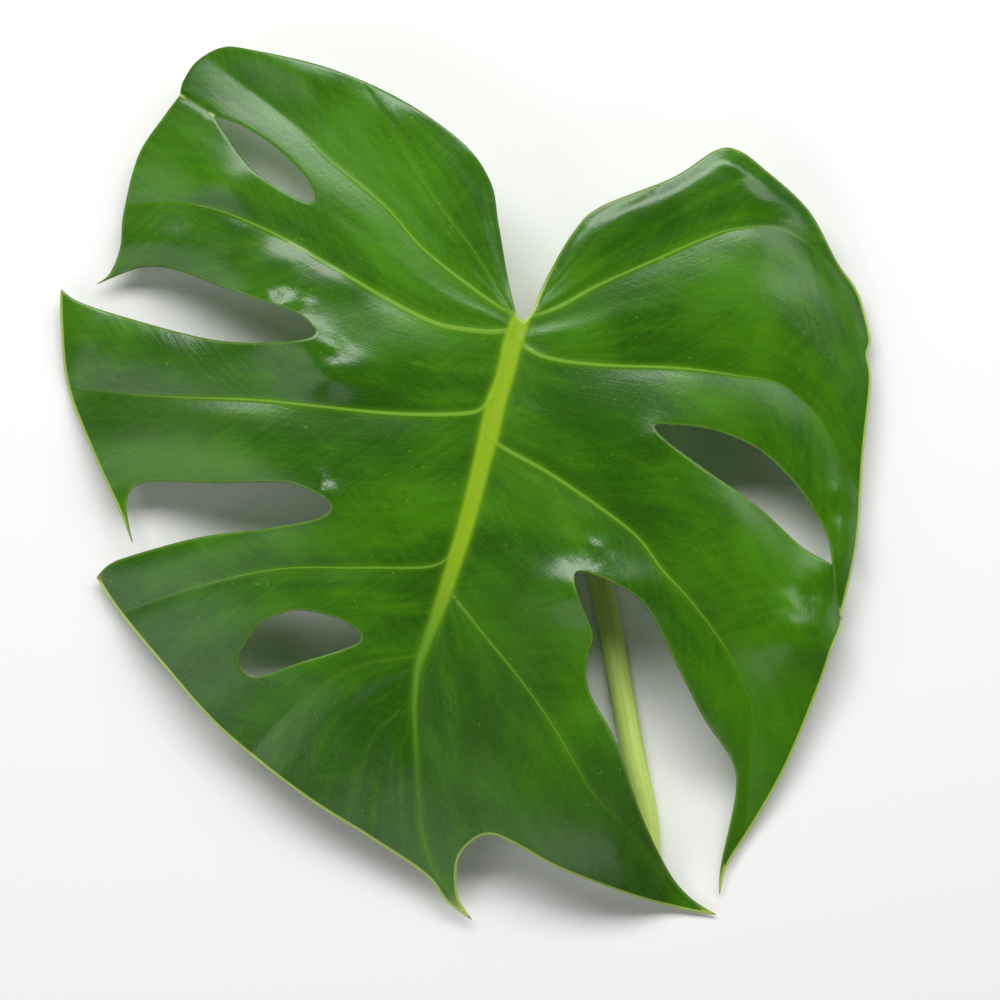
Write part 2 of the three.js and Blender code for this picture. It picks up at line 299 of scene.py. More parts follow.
def beside(points, line):
    """For each point: its distance to a line, the share of the line's length at the nearest place,
    and the side, +1 to the right of the way the line runs and -1 to its left."""
    nearest = np.full(len(points), np.inf)
    share = np.zeros(len(points))
    side = np.ones(len(points))
    lengths = np.linalg.norm(np.diff(line, axis=0), axis=1)
    starts = np.concatenate([[0], np.cumsum(lengths)])
    for i, (a, b) in enumerate(zip(line[:-1], line[1:])):
        along = b - a
        t = np.clip((points - a) @ along / (along @ along), 0, 1)
        off = points - a - t[:, None] * along
        distance = np.hypot(off[:, 0], off[:, 1])
        closer = distance < nearest
        nearest[closer] = distance[closer]
        share[closer] = ((starts[i] + t * lengths[i]) / starts[-1])[closer]
        side[closer] = np.sign(along[1] * off[:, 0] - along[0] * off[:, 1])[closer]
    return nearest, share, side


def extended(line):
    """The line with a straight piece added at each end."""
    start, end = line[0] - line[5], line[-1] - line[-3]
    return np.vstack([
        line[0] + start / np.linalg.norm(start) * EXTENDED, line,
        line[-1] + end / np.linalg.norm(end) * EXTENDED])


def line_length(line):
    return np.linalg.norm(np.diff(line, axis=0), axis=1).sum()


def nearest_of(points, places):
    """Distance from each point to the nearest of many places."""
    tree = kdtree.KDTree(len(places))
    for i, place in enumerate(places):
        tree.insert((place[0], place[1], 0), i)
    tree.balance()
    return np.array([tree.find((p[0], p[1], 0))[2] for p in points])


def inside(points, loops):
    """True for each point inside the margin and outside the holes."""
    within = np.zeros(len(points), bool)
    x, y = points[:, 0], points[:, 1]
    for loop in loops:
        for a, b in zip(loop, np.roll(loop, -1, 0)):
            if a[1] == b[1]:
                continue
            crosses = (a[1] > y) != (b[1] > y)
            within ^= crosses & (x < (b[0] - a[0]) * (y - a[1]) / (b[1] - a[1]) + a[0])
    return within


def soft_step(low, high, value):
    """0 below low, 1 above high and a smooth change between them."""
    t = np.clip((value - low) / (high - low), 0, 1)
    return t * t * (3 - 2 * t)


def bump_at(points, middle, radii):
    """1 at the middle of a soft bump, and fading to 0 beyond its radii."""
    off = (points - middle) / radii
    return np.exp(-(off**2).sum(1))


def strongest(points, patches):
    """The largest of many soft bumps at each point."""
    return np.max([bump_at(points, place, radii) for place, radii in patches], axis=0)


def soft_noise(u, v, seed):
    """Smooth random values between -1 and 1, one lattice cell per unit of u and v."""
    lattice = np.random.default_rng(seed).uniform(-1, 1, (64, 64))
    iu, iv = np.floor(u).astype(int), np.floor(v).astype(int)
    fu, fv = soft_step(0, 1, u - iu), soft_step(0, 1, v - iv)

    def corner(du, dv):
        return lattice[(iu + du) % 64, (iv + dv) % 64]

    low = corner(0, 0) * (1 - fu) + corner(1, 0) * fu
    high = corner(0, 1) * (1 - fu) + corner(1, 1) * fu
    return low * (1 - fv) + high * fv


# ---------------------------------------------------------------------------------------------
# The blade
# ---------------------------------------------------------------------------------------------

def margin_loops(spacing):
    """The outer margin and the two holes as closed loops of points."""
    outer = np.vstack([smooth_line(stretch, spacing)[:-1] for stretch in MARGIN])
    holes = [smooth_line(hole, spacing)[:-1] for hole in (UPPER_HOLE, LOWER_HOLE)]
    return [outer, *holes]


def drawn_to_row():
    """The step from the drawn leaf's frame to the model's, from the CAD blade's own box."""
    low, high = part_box("leaf_blade")
    outer = margin_loops(1)[0]
    middle = (outer.min(0) + outer.max(0)) / 2
    return (low.x + high.x) / 2 / MM - middle[0], (low.y + high.y) / 2 / MM - middle[1]


def sideways(ahead):
    """Unit steps to the left of the given directions."""
    return np.stack([-ahead[:, 1], ahead[:, 0]], 1) / np.linalg.norm(ahead, axis=1)[:, None]


def margin_rows(loops, rim):
    """Rows of points just inside the margin and round the holes."""
    rows = []
    for loop, ways in zip(loops, ((1,), (1, -1), (1, -1))):
        normal = sideways(np.roll(loop, -1, 0) - np.roll(loop, 1, 0))
        for inset in RIM_ROWS:
            for way in ways:
                row = loop + way * inset * normal
                rows.append(row[inside(row, loops) & (nearest_of(row, rim) > 0.8 * inset)])
    return np.vstack(rows)


def vein_rows(loops, rim, layers, cell):
    """The layers of points with rows along the midrib, the torn fold and the side veins added."""
    veins = [(MIDRIB, MIDRIB_ROWS), (TEAR_FOLD, FOLD_ROWS)]
    veins += [(path, VEIN_ROWS) for path, _, _ in LEFT_VEINS + RIGHT_VEINS]
    for path, offsets in veins:
        line = smooth_line(path, 0.9 * cell)
        normal = sideways(np.gradient(line, axis=0))
        for offset in offsets:
            for way in ((1, -1) if offset else (1,)):
                row = line + way * offset * normal
                row = row[inside(row, loops)]
                row = row[nearest_of(row, rim) > 0.45 * cell]
                far = nearest_of(row, np.vstack(layers)) > LEAST_GAP
                layers = [*layers, row[far]]
    return layers


def blade_grid(loops, layers, cell):
    """A triangular grid that fills the rest of the blade."""
    low, high = loops[0].min(0), loops[0].max(0)
    rows = []
    for i, y in enumerate(np.arange(low[1], high[1], cell * math.sqrt(3) / 2)):
        x = np.arange(low[0] + (i % 2) * cell / 2, high[0], cell)
        rows.append(np.column_stack([x, np.full_like(x, y)]))
    grid = np.vstack(rows)
    grid = grid[inside(grid, loops)]
    return grid[nearest_of(grid, np.vstack(layers)) > 0.62 * cell]


def blade_layout(cell):
    """Points and triangles that fill the margin, with rows along the margin and the veins."""
    loops = margin_loops(0.85 * cell)
    rim = np.vstack([smooth_line(stretch, RIM_SPACING) for stretch in STRETCHES])
    edges = []
    count = 0
    for loop in loops:
        ids = np.arange(count, count + len(loop))
        edges += list(zip(ids.tolist(), np.roll(ids, -1).tolist()))
        count += len(loop)
    layers = vein_rows(loops, rim, [np.vstack(loops), margin_rows(loops, rim)], cell)
    points = np.vstack([*layers, blade_grid(loops, layers, cell)])

    found = geometry.delaunay_2d_cdt([Vector(p) for p in points], edges, [], 0, 1e-6)
    points = np.array([tuple(v) for v in found[0]])
    faces = np.array([f for f in found[2] if len(f) == 3])
    faces = faces[inside(points[faces].mean(1), loops)]
    used = np.unique(faces)
    renumber = np.full(len(points), -1)
    renumber[used] = np.arange(len(used))
    points, faces = points[used], renumber[faces]
    a, b, c = (points[faces[:, k]] for k in range(3))
    wound = (b[:, 0] - a[:, 0]) * (c[:, 1] - a[:, 1]) - (b[:, 1] - a[:, 1]) * (c[:, 0] - a[:, 0])
    faces[wound < 0] = faces[wound < 0][:, ::-1]
    return points, faces, rim


def crown_height(p):
    """Height of the low crown, and of the arch that it runs into near the tip."""
    across = (p[:, 0] - CROWN["x"]) / np.where(p[:, 0] < CROWN["x"], CROWN["left"], CROWN["right"])
    along = (p[:, 1] - CROWN["y"]) / np.where(p[:, 1] < CROWN["y"], CROWN["tipward"], CROWN["baseward"])
    crown = CROWN["height"] * (1 - (across**2 + along**2) ** CROWN_ROUNDNESS)
    away = np.hypot(p[:, 0] - ARCH["x"], p[:, 1] - ARCH["y"]) / ARCH["radius"]
    return crown + ARCH["height"] * np.exp(-away**2)


def split_droop(p):
    """How far the blade turns down beside its splits, more and more towards their mouths."""
    droop = np.zeros(len(p))
    for place, edge in SPLITS:
        away = nearest_of(p, smooth_line(edge, 1.0))
        reach = soft_step(0, SPLIT_DROOP_REACH, np.hypot(p[:, 0] - place[0], p[:, 1] - place[1]))
        droop = np.maximum(droop, reach * np.exp(-away / SPLIT_DROOP_WIDTH))
    return SPLIT_DROOP * droop


def rest_on_surface(height):
    """The height with everything that would lie below the surface bent level just above it."""
    return (height + np.hypot(height, TIP_SOFTNESS)) / 2 + TIP_CLEARANCE


class VeinField:
    """What the blade's points know about its veins."""

    def __init__(self, p):
        midrib = smooth_line(MIDRIB, 2)
        self.mid_away, self.mid_share, mid_side = beside(p, midrib)
        shares, widths = np.array(MIDRIB_HALF_WIDTHS).T
        self.mid_half = np.interp(self.mid_share, shares, widths)
        self.left = mid_side > 0
        self.vein_away = np.full(len(p), 99.0)
        self.vein_half = np.full(len(p), 0.3)
        self.vein_show = np.zeros(len(p))
        self.rib = np.zeros(len(p))
        self.pillow = np.zeros(len(p))
        self.flow_along = np.zeros(len(p))
        self.flow_across = np.zeros(len(p))
        self.slant = np.zeros(len(p))
        for half, veins, turn, margin in (
                (self.left, LEFT_VEINS, -1, MARGIN[0]),
                (~self.left, RIGHT_VEINS, 1, MARGIN[-1][::-1])):
            distal = midrib[midrib[:, 1] < veins[-1][0][0][1]]
            self._one_half(p, np.nonzero(half)[0], veins, turn, smooth_line(margin, 2), distal)

    def _one_half(self, p, ids, veins, turn, margin, distal):
        q = p[ids]
        away, share, _ = beside(q, margin)
        guides = [(away, share * line_length(margin))]
        past = np.zeros(len(ids), int)
        for path, half_width, show in veins:
            line = smooth_line(path, 2)
            guide = extended(line[FLARE:])
            away, share, side = beside(q, guide)
            guides.append((away, share * line_length(guide) - EXTENDED))
            past += side * turn > 0
            self._one_vein(ids, *beside(q, line)[:2], half_width, show, VEIN_FADE[turn])
        away, share, _ = beside(q, distal)
        guides.append((away, share * line_length(distal)))
        self._between_veins(ids, guides, past, veins, turn)

    def _one_vein(self, ids, away, share, half_width, show, fade):
        half = half_width * (1 - 0.82 * share**0.75)
        shown = show * (1 - 0.85 * soft_step(*fade, share))
        nearer = away / half < self.vein_away[ids] / self.vein_half[ids]
        for name, value in (("vein_away", away), ("vein_half", half), ("vein_show", shown)):
            getattr(self, name)[ids] = np.where(nearer, value, getattr(self, name)[ids])
        self.rib[ids] = np.maximum(
            self.rib[ids], (0.25 + show * half * 1.5) * np.exp(-(away / (0.35 + half)) ** 4))

    def _between_veins(self, ids, guides, past, veins, turn):
        """How far between two guides each point is, and how far the blade swells there."""
        away, along = (np.stack(column) for column in zip(*guides))
        column = np.arange(len(ids))
        a, b = away[past, column], away[past + 1, column]
        mix = a / np.maximum(a + b, 1e-6)
        self.flow_across[ids] = past + mix
        self.slant[ids] = np.where(past == 0, b, np.minimum(a, b))
        self.flow_along[ids] = along[past, column] * (1 - mix) + along[past + 1, column] * mix
        strength = np.array([0.5, *[0.15 + 0.85 * v[2] for v in veins], 0.5])
        crease = strength[past] * (1 - mix) + strength[past + 1] * mix
        pillow = crease * np.minimum(a + b, PILLOW_SPACING) * mix * (1 - mix)
        # Beside the notch the blade rises all the way from the first strong vein to near its edge.
        to_edge, to_vein = away[0], away[2]
        rise = to_vein / np.maximum(to_edge + to_vein, 1e-6)
        crest = rise * (1 - soft_step(0.75, 1.0, rise) * 0.35)
        lobe = NOTCH_RISE[turn] * np.minimum(to_edge + to_vein, PILLOW_SPACING) * crest
        self.pillow[ids] = np.where(past < 2, lobe, pillow)


def blade_heights(p, field, rim_away, settings):
    """The blade's upper and lower faces."""
    dip = MIDRIB_DIP * np.exp(-field.mid_away / MIDRIB_DIP_WIDTH) * (1 - 0.6 * field.mid_share)
    middle = rest_on_surface(crown_height(p) - split_droop(p) - dip)
    middle += settings.pillow * soft_step(*PILLOW_GROWS, field.mid_away) * field.pillow
    shown = soft_step(*ROLL_STARTS, np.hypot(*(p - NOTCH_BOTTOM).T))
    for stretch, depth, ends in ROLLS:
        away = beside(p, smooth_line(stretch, 1))[0]
        roll = np.exp(-((away / ROLL_WIDTH) ** 1.5))
        middle -= depth * (shown * soft_step(*ends, p[:, 1])) * roll

    calm = soft_step(0, 5, field.mid_away)
    for height, length, count, seed in WAVES:
        middle += calm * height * soft_noise(field.flow_along / length, field.flow_across * count, seed)
    for place, height, radii in SWELLS:
        middle += height * bump_at(p, place, radii)
    crumple = strongest(p, CRUMPLES)
    for height, one, other, seed in FOLDS:
        middle += crumple * height * soft_noise((p / one).sum(1), (p / other).sum(1), seed)
    fold_away = beside(p, smooth_line(TEAR_FOLD, 1))[0]
    middle -= TEAR_DEPTH * np.exp(-((fold_away / TEAR_WIDTH) ** 2))
    return blade_section(field, rim_away, middle, settings.thickness / MM / 2)


def blade_section(field, rim_away, middle, half):
    """The faces above and below the middle, with the midrib, the side veins and the thin edge."""
    thin = EDGE_SHARE + (1 - EDGE_SHARE) * np.sqrt(1 - (1 - np.clip(rim_away / EDGE_ROUND, 0, 1)) ** 2)
    bead = np.clip(1 - (field.mid_away / field.mid_half) ** 2, 0, 1)
    gutter = np.exp(-(((field.mid_away - field.mid_half - 0.3) / GUTTER_WIDTH) ** 2))
    ridge = np.exp(-((field.vein_away / np.maximum(0.9 * field.vein_half, 0.3)) ** 2))
    top = middle + half * thin + BEAD_HEIGHT * bead * (1 - 0.7 * field.mid_share)
    top -= GUTTER_DEPTH * gutter * (1 - field.mid_share)
    top += RIDGE_HEIGHT * ridge * field.vein_show * soft_step(0, 2, rim_away)
    rib_half = 0.6 + 1.1 * field.mid_half * (1 - 0.3 * field.mid_share)
    rib = np.clip(1 - (field.mid_away / rib_half) ** 2, 0, 1) ** 0.75
    rib_depth = RIB_DEPTH[0] + RIB_DEPTH[1] * (1 - field.mid_share) ** 0.8
    edge = soft_step(0, RIB_EDGE, rim_away)
    return top, middle - half * thin - edge * np.maximum(rib_depth * rib, field.rib)


def lap_strip(p, top, bottom):
    """Lays the strip beyond the upper right split over the corner of the lobe below it."""
    away, share, side = beside(p, smooth_line(SLIT, 1))
    near = np.exp(-((away / 5) ** 2)) * soft_step(0, 0.4, share)
    strip = side < 0
    lift = near * np.where(strip, LAP_STRIP["lift"], LAP_LOBE["lift"])
    shift = near * np.where(strip, LAP_STRIP["shift"], LAP_LOBE["shift"])
    return p + np.column_stack([shift, np.zeros(len(p))]), top + lift, bottom + lift


def closed_sheet(name, points, faces, top, bottom):
    """One closed mesh: the upper face, the lower face, and a rounded edge between them."""
    n = len(points)
    edges = dict.fromkeys((a, b) for f in faces.tolist() for a, b in zip(f, (*f[1:], f[0])))
    border = [(a, b) for a, b in edges if (b, a) not in edges]
    on_border = sorted({a for a, _ in border})
    row = {v: 2 * n + i for i, v in enumerate(on_border)}
    outward = np.zeros((n, 2))
    for a, b in border:
        along = points[b] - points[a]
        out = np.array([along[1], -along[0]])
        out /= np.linalg.norm(out)
        outward[a] += out
        outward[b] += out
    outward[on_border] /= np.linalg.norm(outward[on_border], axis=1)[:, None] + 1e-9
    upper = np.column_stack([points, top])
    lower = np.column_stack([points, bottom])
    between = np.column_stack([
        points[on_border] + EDGE_BULGE * outward[on_border], (top + bottom)[on_border] / 2])
    walls = []
    for a, b in border:
        walls.append((a, row[a], row[b], b))
        walls.append((row[a], n + a, n + b, row[b]))
    mesh = bpy.data.meshes.new(name)
    mesh.from_pydata(
        np.vstack([upper, lower, between]).tolist(), [],
        faces.tolist() + (faces[:, ::-1] + n).tolist() + walls)
    mesh.polygons.foreach_set("use_smooth", [True] * len(mesh.polygons))
    under = [0] * len(faces) + [1] * len(faces) + [0] * len(walls)
    mesh.polygons.foreach_set("material_index", under)
    return mesh, on_border


def store(mesh, name, values):
    """Keeps one number or one vector for each point of the mesh."""
    values = np.asarray(values, np.float32)
    kind = "FLOAT" if values.ndim == 1 else "FLOAT_VECTOR"
    attribute = mesh.attributes.new(name, kind, "POINT")
    attribute.data.foreach_set("value" if kind == "FLOAT" else "vector", values.ravel())


def blade_attributes(points, field, rim_away):
    """What the blade's finish needs to know at each point."""
    to_stretch = np.stack([nearest_of(points, smooth_line(stretch, 0.5)) for stretch in STRETCHES])
    tip_lime = np.zeros(len(points))
    tip_dry = np.zeros(len(points))
    for place, reach, brown in TIPS:
        away = np.hypot(*(points - place).T)
        tip_lime = np.maximum(tip_lime, 1 - soft_step(0.3 * reach, 1.2 * reach, away))
        tip_dry = np.maximum(tip_dry, brown * (1 - soft_step(0.8, 2.4, away)))
    rim_show = np.array(RIM_SHOW)[to_stretch.argmin(0)]
    return {
        "mid_gap": field.mid_away - field.mid_half,
        "mid_share": field.mid_share,
        "vein_gap": field.vein_away - field.vein_half,
        "vein_show": field.vein_show,
        "rim_away": np.where(rim_away < 0.3, 0, rim_away),
        "rim_show": rim_show * (1 - 0.8 * soft_step(0, 25, points[:, 1])),
        "tip_lime": tip_lime,
        "tip_dry": tip_dry,
        "fold_away": beside(points, smooth_line(TEAR_FOLD, 1))[0],
        # The next two are where a glow of light through the blade and a grey sheen are painted into the
        # colour.
        "fresh": strongest(points, PAINTED_GLOW_PATCHES),
        "dull": strongest(points, PAINTED_SHEEN_PATCHES),
        "feathered": strongest(points, FEATHERED),
        "crumple": strongest(points, CRUMPLES),
        "slant": field.slant,
        "flow": np.column_stack([
            field.flow_along, field.flow_across, np.where(field.left, 0, 7)]),
    }


def make_blade(settings):
    cell = settings.cell / MM * 1
    points, faces, rim = blade_layout(cell)
    field = VeinField(points)
    rim_away = nearest_of(points, rim)
    top, bottom = blade_heights(points, field, rim_away, settings)
    laid, top, bottom = lap_strip(points, top, bottom)
    laid = laid + drawn_to_row()
    mesh, on_border = closed_sheet("split_blade", laid, faces, top, bottom)
    mesh.transform(Matrix.Scale(MM, 4))
    for name, values in blade_attributes(points, field, rim_away).items():
        store(mesh, name, np.concatenate([values, values, values[on_border]]))
    mesh.materials.append(upper_face_material(settings))
    mesh.materials.append(under_face_material(settings))
    piece = bpy.data.objects.new("split_blade", mesh)
    bpy.context.scene.collection.objects.link(piece)
    return piece


# ---------------------------------------------------------------------------------------------
# Materials
# ---------------------------------------------------------------------------------------------

class Tree:
    """Short calls that add nodes to a tree."""

    def __init__(self, tree):
        self.tree = tree

    def add(self, kind, inputs=None, **values):
        node = self.tree.nodes.new(kind)
        for key, value in values.items():
            setattr(node, key, value)
        for key, value in (inputs or {}).items():
            self.feed(node.inputs[key], value)
        return node

    def feed(self, socket, value):
        """Links another node's output to the socket, or sets a plain value on it."""
        if isinstance(value, bpy.types.NodeSocket):
            self.tree.links.new(value, socket)
        else:
            socket.default_value = value

    def math(self, operation, *values):
        return self.add("ShaderNodeMath", dict(enumerate(values)), operation=operation).outputs[0]

    def plus(self, a, b):
        return self.math("ADD", a, b)

    def minus(self, a, b):
        return self.math("SUBTRACT", a, b)

    def times(self, a, b):
        return self.math("MULTIPLY", a, b)


class Finish(Tree):
    """A material's nodes, with short calls for what the leaf's finishes need."""

    def __init__(self, material):
        material.use_nodes = True
        super().__init__(material.node_tree)
        self.shader = self.tree.nodes["Principled BSDF"]

    def attribute(self, name, output="Fac"):
        return self.add("ShaderNodeAttribute", attribute_name=name).outputs[output]

    def ramp(self, value, low, high, start=0.0, end=1.0):
        """start below low, end above high, and a soft change between."""
        return self.add("ShaderNodeMapRange", {
            "Value": value, "From Min": low, "From Max": high, "To Min": start, "To Max": end},
            interpolation_type="SMOOTHSTEP").outputs[0]

    def mix(self, share, a, b, blend="MIX"):
        node = self.add("ShaderNodeMix", {0: share}, data_type="RGBA", blend_type=blend)
        self.feed(node.inputs[6], a)
        self.feed(node.inputs[7], b)
        return node.outputs[2]

    def noise(self, vector, scale, detail=2.0, rough=0.5):
        return self.add("ShaderNodeTexNoise", {
            "Vector": vector, "Scale": scale, "Detail": detail, "Roughness": rough}).outputs[0]

    def stretched(self, vector, scale):
        return self.add("ShaderNodeMapping", {"Vector": vector, "Scale": scale}).outputs[0]

    def relief(self, height, strength, depth):
        """Small relief that only shades: its height from 0 to 1 stands for the depth in metres."""
        bump = self.add("ShaderNodeBump", {"Height": height, "Strength": strength, "Distance": depth})
        self.put("Normal", bump.outputs[0])

    def put(self, socket, value):
        self.feed(self.shader.inputs[socket], value)


def upper_face_material(settings):
    material = bpy.data.materials.new("blade_upper_face")
    n = Finish(material)
    place = n.add("ShaderNodeTexCoord").outputs["Object"]
    flow = n.attribute("flow", "Vector")
    grain = {
        "patches": n.noise(place, 26, 2),
        "streaks": n.noise(n.stretched(flow, (0.03, 4.5, 1)), 1.0, 3, 0.55),
        "fine": n.noise(n.stretched(flow, (0.07, 22, 1)), 1.0, 3, 0.6),
        "feather": feathered(n, flow),
        "threads": secondary_veins(n, flow),
        "net": vein_net(n, place),
    }
    colour = tissue_colour(n, settings, place, grain)
    colour = vein_colour(n, settings, place, flow, colour)
    n.put("Base Color", edge_colour(n, settings, colour))
    rough = n.ramp(grain["patches"], 0.2, 0.8, settings.roughness - 0.04, settings.roughness + 0.04)
    n.put("Roughness", n.minus(rough, n.times(n.attribute("crumple"), 0.06)))
    n.relief(tissue_relief(n, place, flow, grain), 0.26, 0.0004)
    return material


def tissue_colour(n, settings, place, grain):
    """Greens of the tissue between the veins, with its finest veins, a few pale specks, painted grey
    sheen and a painted glow of light through the blade.
    """
    streaks, fine = grain["streaks"], grain["fine"]
    amount = n.plus(n.ramp(grain["patches"], 0.3, 0.7, 0, 0.5), n.ramp(streaks, 0.3, 0.7, 0, 0.35))
    amount = n.plus(amount, n.ramp(grain["feather"], 0.3, 0.7, 0, 0.2))
    # Painted glow of light through the blade: the listed patches push the green towards the fresh
    # green.
    amount = n.plus(amount, n.times(n.attribute("fresh"), 0.5))
    colour = n.mix(n.ramp(amount, 0.1, 1.2), settings.deep_green, settings.fresh_green)
    limes = n.times(n.ramp(streaks, 0.55, 0.75), n.ramp(fine, 0.4, 0.7, 0, 0.5))
    colour = n.mix(limes, colour, settings.lime_green)
    colour = n.mix(n.ramp(fine, 0.4, 0.7, 0, 0.22), colour, settings.deep_green)
    # Painted grey sheen: the green turns greyer in the listed patches, where the leaf should catch the
    # light.
    colour = n.mix(n.times(n.attribute("dull"), 0.6), colour, settings.painted_sheen_green)
    colour = n.mix(n.times(grain["threads"], 0.12), colour, settings.lime_green)
    colour = n.mix(n.times(grain["net"], 0.07), colour, settings.lime_green)
    specks = n.ramp(n.noise(place, 800, 0), 0.82, 0.86, 0, 0.35)
    return n.mix(specks, colour, settings.vein_green)


def vein_colour(n, settings, place, flow, colour):
    """The side veins and the midrib, each with a soft halo of lime."""
    vein_show = n.attribute("vein_show")
    blur = n.times(n.minus(n.noise(place, 1500, 2), 0.5), 0.5)
    vein_gap = n.plus(n.attribute("vein_gap"), n.times(blur, 0.4))
    halo = n.ramp(vein_gap, 0.0, 1.6, 0.28, 0)
    colour = n.mix(n.times(halo, vein_show), colour, settings.lime_green)
    line = n.times(n.ramp(vein_gap, -0.25, 0.12, 0.9, 0), vein_show)
    colour = n.mix(line, colour, settings.vein_green)

    mid_share = n.attribute("mid_share")
    mid_gap = n.plus(n.attribute("mid_gap"), blur)
    fade = n.ramp(mid_share, 0.55, 0.8, 1, 0.45)
    mid_halo = n.times(n.ramp(mid_gap, -0.6, 2.4, 0.4, 0), fade)
    colour = n.mix(mid_halo, colour, settings.lime_green)
    stripe = n.noise(n.stretched(flow, (0.05, 30, 1)), 1.0, 3)
    midrib = n.mix(n.ramp(stripe, 0.3, 0.7, 0, 0.35), settings.midrib_green, settings.vein_green)
    midrib = n.mix(n.ramp(mid_share, 0.36, 0.58), midrib, settings.midrib_tip_green)
    return n.mix(n.times(n.ramp(mid_gap, -1.1, 0.7, 1, 0), fade), colour, midrib)


def edge_colour(n, settings, colour):
    """The pale rim, the lobes' yellow and dry tips, and the scar of the torn fold."""
    rim_away = n.attribute("rim_away")
    edge = n.times(n.ramp(rim_away, 0.35, 0.95, 0.95, 0), n.attribute("rim_show"))
    colour = n.mix(edge, colour, settings.rim_green)
    colour = n.mix(n.times(n.attribute("tip_lime"), 0.6), colour, settings.rim_green)
    colour = n.mix(n.attribute("tip_dry"), colour, settings.dry_brown)
    scar = n.times(n.ramp(n.attribute("fold_away"), 0.1, 0.8, 0.7, 0),
                   n.ramp(rim_away, 0.5, 2.5, 1, 0.15))
    return n.mix(scar, colour, settings.rim_green)


def tissue_relief(n, place, flow, grain):
    """Fine relief of the tissue: streaks, cells, sunken small veins and crumples."""
    wrinkles = n.noise(n.stretched(flow, (0.25, 9, 1)), 1.0, 3, 0.6)
    height = n.plus(n.times(grain["streaks"], 0.5), n.times(grain["fine"], 0.3))
    height = n.plus(height, n.times(n.noise(place, 1100, 2), 0.15))
    feather_height = n.ramp(n.attribute("feathered"), 0, 1, 0.15, 1.0)
    height = n.plus(height, n.times(grain["feather"], feather_height))
    height = n.plus(height, n.times(n.plus(grain["threads"], grain["net"]), -0.07))
    return n.plus(height, n.times(n.times(n.attribute("crumple"), wrinkles), 2.2))


def feathered(n, flow):
    """Streaks that leave each side vein at a slant and run out to the edges of its lobe."""
    parts = n.add("ShaderNodeSeparateXYZ", {"Vector": flow}).outputs
    away = n.attribute("slant")
    slanted = n.minus(parts["X"], n.times(away, 1.1))
    across = n.add("ShaderNodeCombineXYZ", {
        "X": n.times(slanted, 0.42), "Y": n.times(away, 0.06),
        "Z": parts["Z"]}).outputs[0]
    return n.noise(across, 1.0, 3, 0.55)


def secondary_veins(n, flow):
    """Thin broken lines that run with the side veins."""
    parts = n.add("ShaderNodeSeparateXYZ", {"Vector": flow}).outputs
    sway = n.noise(n.stretched(flow, (0.03, 1.5, 1)), 1.0, 1)
    across = n.plus(n.times(parts["Y"], 34.0), n.times(sway, 5.0))
    wave = n.math("PINGPONG", across, 0.5)
    line = n.ramp(wave, 0.02, 0.2, 1, 0)
    broken = n.ramp(n.noise(n.stretched(flow, (0.06, 30, 1)), 1.0, 1), 0.4, 0.68)
    return n.times(line, broken)


def vein_net(n, place):
    """The finest veins, a net with meshes a few millimetres wide."""
    sway = n.add("ShaderNodeTexNoise", {"Vector": place, "Scale": 300, "Detail": 1}).outputs[1]
    bent = n.mix(0.0035, place, sway, "ADD")
    wide = n.add("ShaderNodeTexVoronoi", {"Vector": bent, "Scale": 260}, feature="DISTANCE_TO_EDGE")
    return n.ramp(wide.outputs[0], 0.0, 0.07, 1, 0)


def under_face_material(settings):
    material = bpy.data.materials.new("blade_under_face")
    n = Finish(material)
    place = n.add("ShaderNodeTexCoord").outputs["Object"]
    flow = n.attribute("flow", "Vector")
    streaks = n.noise(n.stretched(flow, (0.012, 12, 1)), 1.0, 4, 0.65)
    patches = n.noise(place, 25, 2)
    pale = settings.under_green
    colour = n.mix(n.ramp(streaks, 0.3, 0.75, 0, 0.5), pale, settings.fresh_green)
    colour = n.mix(n.ramp(patches, 0.35, 0.7, 0, 0.3), colour, settings.fresh_green)
    line = n.ramp(n.attribute("vein_gap"), 0.1, 0.9, 0.8, 0)
    colour = n.mix(n.times(line, n.attribute("vein_show")), colour, settings.midrib_green)
    colour = n.mix(n.ramp(n.attribute("mid_gap"), 0.3, 1.6, 0.95, 0), colour, settings.midrib_green)
    colour = n.mix(n.ramp(n.attribute("rim_away"), 0.3, 1.0, 0.8, 0), colour, settings.rim_green)
    n.put("Base Color", colour)
    n.put("Roughness", 0.58)
    n.relief(streaks, 0.4, 0.0004)
    return material


def stalk_material(settings):
    material = bpy.data.materials.new("stalk_skin")
    n = Finish(material)
    around = n.attribute("around", "Vector")
    place = n.add("ShaderNodeTexCoord").outputs["Object"]
    fibres = n.noise(n.stretched(around, (5, 5, 0.6)), 1.0, 4, 0.6)
    patches = n.noise(place, 60, 2)
    colour = n.mix(n.ramp(fibres, 0.35, 0.7), settings.light_green, settings.dark_green)
    colour = n.mix(n.ramp(patches, 0.4, 0.75, 0, 0.4), colour, settings.light_green)
    flecks = n.ramp(n.noise(n.stretched(around, (9, 9, 6)), 1.0, 2), 0.66, 0.72, 0, 0.45)
    colour = n.mix(flecks, colour, settings.fleck_green)
    n.put("Base Color", colour)
    n.put("Roughness", 0.42)
    n.relief(fibres, 0.3, 0.0005)
    return material


def cut_face_material(settings, stalk):
    material = bpy.data.materials.new("cut_face")
    n = Finish(material)
    place = n.add("ShaderNodeTexCoord").outputs["Object"]
    grain = n.noise(place, 3500, 3)
    colour = n.mix(n.ramp(grain, 0.35, 0.7), settings.pith, stalk.light_green)
    colour = n.mix(n.attribute("bundle"), colour, settings.bundle)
    n.put("Base Color", colour)
    n.put("Roughness", 0.3)
    n.relief(grain, 0.4, 0.0002)
    return material


def plain_material(name, colour, roughness):
    material = bpy.data.materials.new(name)
    n = Finish(material)
    n.put("Base Color", colour)
    n.put("Roughness", roughness)
    return material


# ---------------------------------------------------------------------------------------------
# The stalk
# ---------------------------------------------------------------------------------------------

